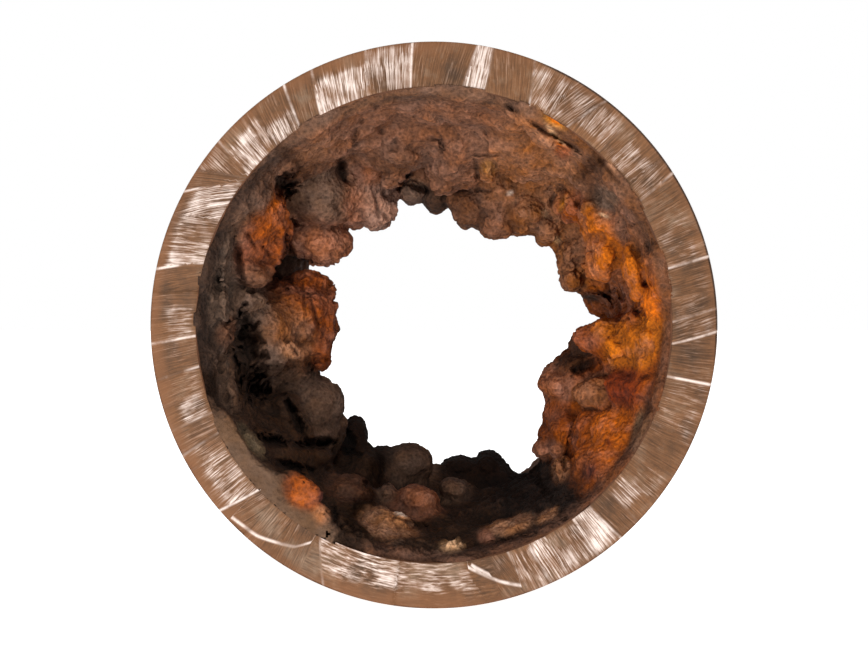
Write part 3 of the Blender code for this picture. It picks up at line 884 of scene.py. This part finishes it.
def paint(obj, rows):
    """Gives each point the tint of the lumps near it, over the ground tint of its clock angle,
    and marks the rust that the saw cut flush."""
    places = vertex_places(obj)
    clock = clock_and_radius(places)[0]
    # Ground tint by clock angle, darker towards the bottom as painted shade
    tint = tints_round(GROUND, clock) * GROUND_WEIGHT
    weight = np.full(len(places), GROUND_WEIGHT)
    # Tints of the lumps; the dark and black ones are painted shade
    for row in rows:
        if row[8] != "patch":
            share = lump_share(places, row)
            weight += share
            tint += share[:, None] * np.array(linear(TINTS[row[9]]))
    tint /= weight[:, None]
    # The bare strip: partly the wall's own colour, partly painted shade, darkest on the left
    tint = cover(tint, tints_round(BAND, clock), band_share(places) * BAND_COVER)
    for row in rows:
        if row[8] == "patch":
            share = np.minimum(1, lump_share(places, row) * PATCH_COVER)
            tint = cover(tint, np.array(linear(TINTS[row[9]])), share)
    plain = PLAIN_COVER * np.clip((places[:, 1] - FRONT - PLAIN_START) / PLAIN_SOFTNESS, 0, 1)
    tint = cover(tint, np.array(linear(TINTS["umber"])), plain)
    layer = obj.data.attributes.new("tint", "FLOAT_COLOR", "POINT")
    layer.data.foreach_set("color", np.column_stack([tint, np.ones(len(tint))]).ravel())
    flush = np.zeros(len(places))
    for row in rows:
        if row[8] == "cut":
            flush = np.maximum(flush, lump_share(places, row))
    near_face = np.clip(1 - (places[:, 1] - FRONT) / CUT_DEPTH, 0, 1)
    set_attribute(obj, "cut_flush", np.clip(flush * 2, 0, 1) * near_face)


def coarseness(obj, rows):
    """How coarsely each point is broken up, from the lumps that it belongs to."""
    places = vertex_places(obj)
    weight = np.full(len(places), GROUND_WEIGHT)
    total = np.full(len(places), GROUND_WEIGHT * GROUND_COARSENESS)
    for row in rows:
        share = lump_share(places, row)
        weight += share
        total += share * FORMS[row[8]][1]
    return total / weight * (1 - 0.6 * band_share(places))


def roughen(obj, coarse, reliefs):
    set_group(obj, "coarse", coarse)
    for name, size, height, middle, group, basis, depth in reliefs:
        look = texture(name, "CLOUDS", size * MM, noise_basis=basis, noise_depth=depth)
        displace(obj, look, height * MM, middle, group)


def crust_piece(name, base, rows, all_rows, grain, faces, seed):
    chance = np.random.default_rng(seed)
    apply_modifier(base, "REMESH", mode="VOXEL", voxel_size=BASE_GRAIN)
    thin_base(base)
    pieces = make_lumps(rows, chance)
    crust = join(name, [base] + pieces)
    crust.vertex_groups.clear()
    roughen(crust, coarseness(crust, all_rows), BROAD_RELIEF)
    crust.vertex_groups.clear()
    apply_modifier(crust, "REMESH", mode="VOXEL", voxel_size=grain)
    coarse = coarseness(crust, all_rows)
    break_into_clods(crust, coarse)
    roughen(crust, coarse, FINE_RELIEF)
    carve(crust)
    keep_in_pipe(crust)
    triangles = sum(len(face.vertices) - 2 for face in crust.data.polygons)
    apply_modifier(crust, "DECIMATE", ratio=min(1, faces / triangles))
    pick(crust)
    bpy.ops.object.shade_smooth()
    crust.data.materials.clear()
    crust.vertex_groups.clear()
    add_relief(crust)
    paint(crust, all_rows)
    return crust


def cut_edges(obj, cuts, on_side):
    """Divides the profile's edges that lie on one side."""
    bpy.ops.object.mode_set(mode="EDIT")
    bpy.ops.mesh.select_mode(type="EDGE")
    bpy.ops.mesh.select_all(action="DESELECT")
    bpy.ops.object.mode_set(mode="OBJECT")
    for edge in obj.data.edges:
        edge.select = all(on_side(obj.data.vertices[end].co) for end in edge.vertices)
    bpy.ops.object.mode_set(mode="EDIT")
    bpy.ops.mesh.subdivide(number_cuts=cuts)
    bpy.ops.object.mode_set(mode="OBJECT")


def turned_wall():
    """The tube: its section drawn flat, its corners broken, then spun round the axis."""
    middle = (BORE_RADIUS + OUTER_RADIUS) / 2
    deselect()
    bpy.ops.mesh.primitive_plane_add(size=1, location=(middle, (FRONT + BACK) / 2, AXIS))
    wall = bpy.context.object
    wall.name = "iron_wall"
    wall.scale = (WALL, LENGTH, 1)
    pick(wall)
    bpy.ops.object.transform_apply(location=True, rotation=True, scale=True)
    bpy.ops.object.mode_set(mode="EDIT")
    bpy.ops.mesh.select_all(action="SELECT")
    bpy.ops.mesh.bevel(offset=EDGE_BREAK, affect="VERTICES", segments=2)
    bpy.ops.mesh.select_all(action="SELECT")
    bpy.ops.mesh.delete(type="ONLY_FACE")
    bpy.ops.object.mode_set(mode="OBJECT")
    near = 0.01 * MM
    cut_edges(wall, FACE_ROWS - 1, lambda place: place.y < FRONT + near)
    cut_edges(wall, FACE_ROWS // 2 - 1, lambda place: place.y > BACK - near)
    cut_edges(wall, OUTSIDE_ROWS - 1, lambda place: place.x > OUTER_RADIUS - near)
    cut_edges(wall, BORE_ROWS - 1, lambda place: place.x < BORE_RADIUS + near)
    bpy.ops.object.mode_set(mode="EDIT")
    bpy.ops.mesh.select_all(action="SELECT")
    bpy.ops.mesh.spin(steps=TURNS, angle=2 * math.pi, center=(0, 0, AXIS), axis=(0, 1, 0))
    bpy.ops.mesh.select_all(action="SELECT")
    bpy.ops.mesh.remove_doubles(threshold=0.00001)
    bpy.ops.mesh.normals_make_consistent(inside=False)
    bpy.ops.object.mode_set(mode="OBJECT")
    return wall


def ground_facets(clock, share):
    """For each point of a sawn face: its facet's tone, partly painted light and shade for the
    facet's tilt, its scratches and height, how bright the nearest facet edge is and how far it
    lies in mm, and how far the scratches lean round."""
    names = ("tone_and_facet_shade", "scratched", "edge_bright", "height", "edge_gap", "lean")
    values = {name: np.zeros(len(clock)) for name in names}
    chance = np.random.default_rng(11)
    first = FACETS[0]
    after_all = FACETS[1:] + ((first[0] + 360, first[1] + 360) + first[2:],)
    for facet, after in zip(FACETS, after_all):
        bore, rim, tone_and_facet_shade, scratched, low, high, edge = facet
        start = bore + (rim - bore) * share
        width = after[0] + (after[1] - after[0]) * share - start
        gone = (clock - start) % 360
        inside = gone < width
        past = np.radians(gone) * BORE_RADIUS / MM
        before = np.radians(width - gone) * BORE_RADIUS / MM
        gap = np.where(past < before, past, -before)
        bright = np.where(past < before, edge, after[6]) * (np.abs(gap) < EDGE_REACH)
        slope = chance.uniform(0.4, 1.0) * (1 if tone_and_facet_shade > 1 else -1)
        tilt = (2 * gone / width - 1) * slope + (share - 0.5) * chance.uniform(-0.6, 0.6)
        span = np.clip((share - low) / 0.12, 0, 1) * np.clip((high - share) / 0.2, 0, 1)
        values["tone_and_facet_shade"][inside] = tone_and_facet_shade
        values["scratched"][inside] = (span * scratched)[inside]
        values["edge_bright"][inside] = bright[inside]
        values["height"][inside] = tilt[inside]
        values["edge_gap"][inside] = gap[inside]
        values["lean"][inside] = np.radians((rim - bore) * share)[inside]
    return values


def nearest_ridge(clock, share):
    """How far each point lies from the nearest curved burr in mm, and how bright that is."""
    gap = np.full(len(clock), 9.0)
    bright = np.zeros(len(clock))
    for strength, points in RIDGES:
        clocks, shares = zip(*points)
        rise = (shares[-1] - shares[0]) * WALL
        run = math.radians(clocks[-1] - clocks[0]) * BORE_RADIUS
        along = (clock >= clocks[0]) & (clock <= clocks[-1])
        away = (share - np.interp(clock, clocks, shares)) * WALL / MM * abs(run) / math.hypot(rise, run)
        nearer = along & (np.abs(away) < np.abs(gap))
        gap[nearer] = away[nearer]
        bright[nearer] = strength
    return gap, bright


def within(clock, span):
    """How many degrees each clock angle lies inside a span of them, below 0 where outside."""
    return (span[1] - span[0]) / 2 - np.abs(clock_away(clock, sum(span) / 2))


def mark_face(wall):
    """The grinder's facets and burrs on both ends, as relief and as attributes for the metal."""
    places = vertex_places(wall)
    clock, radius = clock_and_radius(places)
    share = np.clip((radius - BORE_RADIUS) / WALL, 0, 1)
    front = places[:, 1] < FRONT + FACE_NEAR
    back = places[:, 1] > BACK - FACE_NEAR
    marks = ground_facets(clock, share)
    gap, bright = nearest_ridge(clock, share)
    burr = np.exp(-(gap / RIDGE_WIDTH) ** 2) * bright
    rise = FACET_HEIGHT * (marks["height"] - 1) + RIDGE_HEIGHT * burr
    places[:, 1] -= rise * front - FACET_HEIGHT * marks["height"] * back
    places[:, 1] = np.clip(places[:, 1], FRONT - RIDGE_HEIGHT, BACK + RIDGE_HEIGHT)
    set_places(wall, places)
    for name in ("tone_and_facet_shade", "scratched", "edge_bright", "edge_gap", "lean"):
        set_attribute(wall, name, marks[name])
    set_attribute(wall, "sawn", (front | back).astype(float))
    set_attribute(wall, "ridge_gap", gap)
    set_attribute(wall, "ridge_bright", bright * front)
    set_attribute(wall, "scratched_round", (within(clock, GROUND_ROUND) > 0).astype(float))
    set_attribute(wall, "rim_brown", np.interp(clock, *zip(*RIM_BROWN)))
    # Where the rim's corner gets painted shade
    set_attribute(wall, "rim_shade", np.clip(within(clock, RIM_SHADE_SPAN) / 5, 0, 1) * front)


def iron_wall(material):
    wall = turned_wall()
    places = vertex_places(wall)
    radius = clock_and_radius(places)[1]
    from_end = np.minimum(places[:, 1] - FRONT, BACK - places[:, 1])
    outside = (radius > OUTER_RADIUS - 0.01 * MM) * np.clip((from_end - 1 * MM) / (3 * MM), 0, 1)
    set_group(wall, "outside", outside)
    inside = (radius < BORE_RADIUS + 0.01 * MM) * np.clip((from_end - 0.5 * MM) / (2 * MM), 0, 1)
    set_group(wall, "inside", inside)
    mark_face(wall)
    sand = texture("sand_mould", "CLOUDS", 3.5 * MM, noise_depth=4)
    displace(wall, sand, CAST_ROUGHNESS, 0.7, "outside")
    blisters = texture("blisters", "CLOUDS", 11 * MM, noise_basis="VORONOI_F1", noise_depth=1)
    displace(wall, blisters, -CAST_ROUGHNESS, 0.2, "outside")
    displace(wall, sand, 0.6 * MM, 0.5, "inside")
    pick(wall)
    bpy.ops.object.shade_smooth()
    wall.vertex_groups.clear()
    wall.data.materials.append(material)
    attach(wall, "root")
    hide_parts("pipe_wall")


def fresh_nodes(owner):
    """The empty node tree of a material or of the world."""
    owner.use_nodes = True
    owner.node_tree.nodes.clear()
    return owner.node_tree


def node(tree, kind, sockets, give=0, stops=(), **settings):
    """Adds a node with its settings. Its sockets are set or linked in order, or by name or
    number, and it gives back one of its outputs. Stops are places and colours on a ramp."""
    made = tree.nodes.new("ShaderNode" + kind)
    for name, value in settings.items():
        setattr(made, name, value)
    for socket, value in sockets.items() if isinstance(sockets, dict) else enumerate(sockets):
        if isinstance(value, bpy.types.NodeSocket):
            tree.links.new(value, made.inputs[socket])
        else:
            made.inputs[socket].default_value = value
    for number, (place, code) in enumerate(stops):
        ramp = made.color_ramp.elements
        stop = ramp[number] if number < 2 else ramp.new(place)
        stop.position = place
        stop.color = colour(code)
    return made.outputs[give] if made.outputs else None


def colour(code):
    return (*linear(code), 1)


def sawn_iron():
    """Grey cast iron: on its ends sawn, ground in streaks and browned since by rust, so it
    shows satin brown-grey with silvery scratches, whose whitest parts are painted glints. Its
    facets are partly painted light and shade, and the rim's corner has painted shade from the
    right to the top. Outside it is a dull sand-cast rust brown."""
    material = bpy.data.materials.new("sawn_cast_iron")
    tree = fresh_nodes(material)
    place = node(tree, "TexCoord", {}, "Object")
    centred = node(tree, "VectorMath", [place, (0, 0, AXIS)], operation="SUBTRACT")
    flat = node(tree, "VectorMath", [centred, (1, 0, 1)], operation="MULTIPLY")
    radius = node(tree, "VectorMath", [flat], "Value", operation="LENGTH")
    way = node(tree, "VectorMath", [flat], operation="NORMALIZE")
    along = node(tree, "CombineXYZ", {"Y": radius})
    mark = {name: node(tree, "Attribute", {}, "Fac", attribute_name=name) for name in FACE_MARKS}
    lean = {"Vector": way, "Axis": (0, 1, 0), "Angle": mark["lean"]}
    leaned = node(tree, "VectorRotate", lean, rotation_type="AXIS_ANGLE")
    warp = node(tree, "TexNoise", {"Vector": centred, "Scale": WARP_CELLS, "Detail": 2.0}, "Color")
    bent = node(tree, "VectorMath", {0: warp, 3: WARP_REACH}, operation="SCALE")

    # Soft pale strokes a few tenths of a mm wide, in patches, bare metal whose brightest parts
    # are painted glints: noise that is drawn out across the ring, and noise that is drawn out round it
    grains = []
    for round_cells, across_cells in STROKE_CELLS:
        aside = node(tree, "VectorMath", {0: leaned, 3: round_cells}, operation="SCALE")
        out = node(tree, "VectorMath", {0: along, 3: across_cells}, operation="SCALE")
        both = node(tree, "VectorMath", [aside, out], operation="ADD")
        total = node(tree, "VectorMath", [both, bent], operation="ADD")
        noise = {"Vector": total, "Scale": 1.0, "Detail": 4.0, "Roughness": 0.6}
        grains.append(node(tree, "TexNoise", noise))
    grain = node(tree, "Mix", {0: mark["scratched_round"], 2: grains[0], 3: grains[1]})
    patch = node(tree, "TexNoise", {"Vector": centred, "Scale": PATCH_CELLS, "Detail": 4.0})
    grain_part = node(tree, "Math", [grain, 0.65], operation="MULTIPLY")
    mixed = node(tree, "Math", [patch, 0.35, grain_part], operation="MULTIPLY_ADD")
    level = node(tree, "Math", [mark["scratched"], -0.17, 0.61], operation="MULTIPLY_ADD")
    above = node(tree, "Math", [mixed, level], operation="SUBTRACT")
    stroke = node(tree, "MapRange", [above, -0.05, 0.15, 0.0, 1.0])
    dimmed = node(tree, "MapRange", [mark["scratched"], 0.2, 0.8, 0.45, 1.0])
    scratch = node(tree, "Math", [stroke, dimmed], operation="MULTIPLY")

    # The bright line at a facet's edge, and the curved burrs, lighter bare metal that is painted
    # brightest as a glint, both uneven in width. Each row: what they are, where in mm their line
    # fades, and where in the noise it breaks up.
    shown = scratch
    for line, near, far, low, high, least in (
        ("edge", 0.1, 0.45, 0.4, 0.6, 0.15),
        ("ridge", 0.15, 0.55, 0.35, 0.5, 0.5),
    ):
        away = node(tree, "Math", [mark[line + "_gap"]], operation="ABSOLUTE")
        faded = node(tree, "MapRange", [away, near, far, 1.0, 0.0])
        bright = node(tree, "Math", [mark[line + "_bright"], faded], operation="MULTIPLY")
        uneven = node(tree, "MapRange", [patch, low, high, least, 1.0])
        broken = node(tree, "Math", [bright, uneven], operation="MULTIPLY")
        shown = node(tree, "Math", [shown, broken], operation="MAXIMUM")
    shown = node(tree, "Math", [shown, 1.0], operation="MINIMUM")

    # The metal under the scratches, browned towards its rim
    mottle = {"Vector": centred, "Scale": MOTTLE_CELLS, "Detail": 6.0, "Roughness": 0.65}
    metal_stops = ((0.34, SAWN_DARK), (0.68, SAWN_LIGHT), (0.52, SAWN_WARM))
    metal = node(tree, "ValToRGB", [node(tree, "TexNoise", mottle)], stops=metal_stops)
    streak = node(tree, "MapRange", [grain, 0.32, 0.68, 0.55, 1.32])
    # Each facet lighter or darker: partly its own tone, partly painted light and shade for its tilt
    dull = node(tree, "Math", [mark["tone_and_facet_shade"], streak], operation="MULTIPLY")
    streaked = node(tree, "VectorMath", {0: metal, 3: dull}, operation="SCALE")
    radius_mm = node(tree, "Math", [radius, MM], operation="DIVIDE")
    from_rim = node(tree, "Math", [OUTER_RADIUS / MM, radius_mm], operation="SUBTRACT")
    rim_noise = node(tree, "TexNoise", {"Vector": centred, "Scale": RIM_CELLS, "Detail": 4.0})
    width = node(tree, "MapRange", [rim_noise, 0.3, 0.7, 1.2, 4.6])
    reach = node(tree, "Math", [mark["rim_brown"], width], operation="MULTIPLY")
    past_rim = node(tree, "Math", [from_rim, reach], operation="SUBTRACT")
    rim = node(tree, "MapRange", [past_rim, -1.8, 0.8, 0.7, 0.0])
    browned = node(tree, "Mix", {0: rim, 6: streaked, 7: colour(RIM_TINT)}, 2, data_type="RGBA")
    # Painted shade along the rim's corner, from the right to the top
    corner = node(tree, "MapRange", [from_rim, 0.25, 0.5, 0.85, 0.0])
    dark = node(tree, "Math", [mark["rim_shade"], corner], operation="MULTIPLY")
    edged = node(tree, "Mix", {0: dark, 6: browned, 7: colour(RIM_SHADE)}, 2, data_type="RGBA")
    # Scratch colour: bare metal that whitens to a painted glint
    silver = node(tree, "ValToRGB", [shown], stops=((0.0, SCRATCH_GREY), (1.0, SCRATCH_GLINT_WHITE)))
    cover = node(tree, "MapRange", [shown, 0.0, 0.85, 0.0, 1.0])
    face = node(tree, "Mix", {0: cover, 6: edged, 7: silver}, 2, data_type="RGBA")

    # Outside, rust over sand-cast skin
    skin = {"Vector": centred, "Scale": SKIN_CELLS, "Detail": 9.0, "Roughness": 0.72}
    scale = node(tree, "TexNoise", skin)
    rusty_stops = ((0.3, SKIN_DARK), (0.72, SKIN_LIGHT), (0.5, SKIN_BROWN))
    rusty = node(tree, "ValToRGB", [scale], stops=rusty_stops)
    base = node(tree, "Mix", {0: mark["sawn"], 6: rusty, 7: face}, 2, data_type="RGBA")
    satin = node(tree, "MapRange", [shown, 0.0, 1.0, 0.6, 0.42])
    roughness = node(tree, "Mix", {0: mark["sawn"], 2: 0.85, 3: satin})
    heights = node(tree, "Math", [grain, mark["sawn"], scale], operation="MULTIPLY_ADD")
    bump = node(tree, "Bump", {"Height": heights, "Strength": 0.5, "Distance": 0.25 * MM})
    shader = node(tree, "BsdfPrincipled", {
        "Base Color": base,
        "Roughness": roughness,
        "Specular IOR Level": 0.25,
        "Metallic": 0.2,
        "Normal": bump,
    })
    node(tree, "OutputMaterial", {"Surface": shader})
    return material


def rust_scale():
    """Rust scale, grown in water and dried: matt, gritty, dusty on its knobs, and darker in its pits
    and hollows as painted shade.
    """
    material = bpy.data.materials.new("rust_scale")
    tree = fresh_nodes(material)
    place = node(tree, "TexCoord", {}, "Object")
    tint = node(tree, "Attribute", {}, "Color", attribute_name="tint")
    broad = node(tree, "Attribute", {}, "Fac", attribute_name="broad_relief")
    fine = node(tree, "Attribute", {}, "Fac", attribute_name="fine_relief")
    flush = node(tree, "Attribute", {}, "Fac", attribute_name="cut_flush")
    blotches = {"Vector": place, "Scale": BLOTCH_CELLS, "Detail": 5.0, "Roughness": 0.65}
    specks = {"Vector": place, "Scale": SPECK_CELLS, "Detail": 4.0, "Roughness": 0.75}
    hues = {"Vector": place, "Scale": HUE_CELLS, "Detail": 4.0, "Roughness": 0.6}
    speck = node(tree, "TexNoise", specks)
    pits = node(tree, "TexVoronoi", {"Vector": place, "Scale": PIT_CELLS})

    # How light the rust is: by blotch and by speck, darker in its pits and in its hollows as painted
    # shade, and lighter where its surface stands out
    lightness = node(tree, "MapRange", [node(tree, "TexNoise", blotches), 0.32, 0.68, 0.75, 1.25])
    light = lightness
    for value, low, high, darkest, lightest in (
        (speck, 0.33, 0.67, 0.68, 1.35),
        # Pits, broad hollows and fine crevices: darker as painted shade
        (pits, 0.1, 0.6, 0.72, 1.2),
        (broad, -1.5, 0.7, 0.4, 1.12),
        (fine, -0.25, 0.25, 0.84, 1.1),
    ):
        share = node(tree, "MapRange", [value, low, high, darkest, lightest])
        light = node(tree, "Math", [light, share], operation="MULTIPLY")
    light = node(tree, "Mix", {0: flush, 2: light, 3: lightness})
    warmth = node(tree, "MapRange", [node(tree, "TexNoise", hues), 0.35, 0.65, 0.95, 1.14])
    toned = node(tree, "HueSaturation", {"Color": tint, "Saturation": warmth})
    shaded = node(tree, "VectorMath", {0: toned, 3: light}, operation="SCALE")
    heights = node(tree, "Math", [speck, pits], operation="ADD")
    bump = node(tree, "Bump", {"Height": heights, "Strength": 1.0, "Distance": 0.45 * MM})
    shader = node(tree, "BsdfPrincipled", {
        "Base Color": shaded,
        "Roughness": 0.85,
        "Specular IOR Level": 0.3,
        "Normal": bump,
    })
    node(tree, "OutputMaterial", {"Surface": shader})
    return material


def pale_floor():
    """Matt white studio floor that glows a little, so that it stays pale everywhere."""
    material = bpy.data.materials.new("pale_floor")
    tree = fresh_nodes(material)
    shader = node(tree, "BsdfPrincipled", {
        "Base Color": (0.8, 0.8, 0.8, 1),
        "Roughness": 0.9,
        "Specular IOR Level": 0.0,
        "Emission Color": (1, 1, 1, 1),
        "Emission Strength": 0.97,
    })
    node(tree, "OutputMaterial", {"Surface": shader})
    return material


def make_camera():
    data = bpy.data.cameras.new("camera")
    data.type = "PERSP"
    data.sensor_width = SENSOR
    data.lens = SENSOR * CAMERA_DISTANCE / (PHOTO_WIDTH * PIXEL)
    data.clip_start = 0.01
    camera = bpy.data.objects.new("camera", data)
    camera.location = (0, FRONT - CAMERA_DISTANCE, AXIS)
    camera.rotation_euler = (math.pi / 2, 0, 0)
    bpy.context.scene.collection.objects.link(camera)
    bpy.context.scene.camera = camera


def lamp(name, kind, place, target, **settings):
    data = bpy.data.lights.new(name, kind)
    for setting, value in settings.items():
        setattr(data, setting, value)
    light = bpy.data.objects.new(name, data)
    light.location = place
    light.rotation_euler = (Vector(target) - Vector(place)).to_track_quat("-Z", "Y").to_euler()
    bpy.context.scene.collection.objects.link(light)


def make_stage():
    """White floor and backdrop. The key light stands low in front, at the left, and shines
    up into the bore, so the floor lets its light through."""
    bpy.ops.mesh.primitive_plane_add(size=40, location=(0, 0, 0))
    floor = bpy.context.object
    floor.name = "floor"
    floor.visible_shadow = False
    floor.data.materials.append(pale_floor())

    world = bpy.data.worlds.new("studio")
    bpy.context.scene.world = world
    tree = fresh_nodes(world)
    ray = node(tree, "LightPath", {}, "Is Camera Ray")
    dim = node(tree, "Background", {"Color": (1, 1, 1, 1), "Strength": 0.3})
    white = node(tree, "Background", {"Color": (1, 1, 1, 1), "Strength": 1.0})
    mix = node(tree, "MixShader", [ray, dim, white])
    node(tree, "OutputWorld", {"Surface": mix})

    middle = (0, FRONT + 40 * MM, AXIS)
    lamp("key", "AREA", (-0.2, FRONT - 0.54, -0.1), middle, size=0.16, energy=1.85)
    lamp("fill", "SUN", (0.1, -1.0, 0.42), (0, 0, 0), energy=0.8, angle=math.radians(12))
    lamp("overhead", "SUN", (0.1, 0.4, 1.0), (0, 0, 0), energy=0.9, angle=math.radians(40))
    scene = bpy.context.scene
    scene.view_settings.view_transform = "Standard"
    scene.view_settings.look = "None"


def finish_crust(crust, material):
    crust.data.materials.append(material)
    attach(crust, "root")
    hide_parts("rust_crust")


def main():
    make_camera()
    make_stage()
    iron_wall(sawn_iron())
    rust = rust_scale()
    # Each sector: name, lumps, middle clock, half angle, seed
    sectors = (
        ("crust_top", TOP, 88, 48, 1),
        ("crust_left", LEFT, 163, 38, 2),
        ("crust_lower_left", LOWER_LEFT, 222, 34, 3),
        ("crust_bottom", BOTTOM, 275, 34, 4),
        ("crust_right", RIGHT, 355, 56, 5),
    )
    all_rows = TOP + LEFT + LOWER_LEFT + BOTTOM + RIGHT
    for name, rows, clock, half_turn, seed in sectors:
        base = crust_copy(name + "_base", 0, FAR_START + 2 * MM, clock, half_turn)
        finish_crust(crust_piece(name, base, rows, all_rows, FINE_GRAIN, SECTOR_FACES, seed), rust)
    far = crust_copy("crust_far_base", FAR_START, LENGTH)
    finish_crust(crust_piece("crust_far", far, (), all_rows, FAR_GRAIN, FAR_FACES, 6), rust)


main()
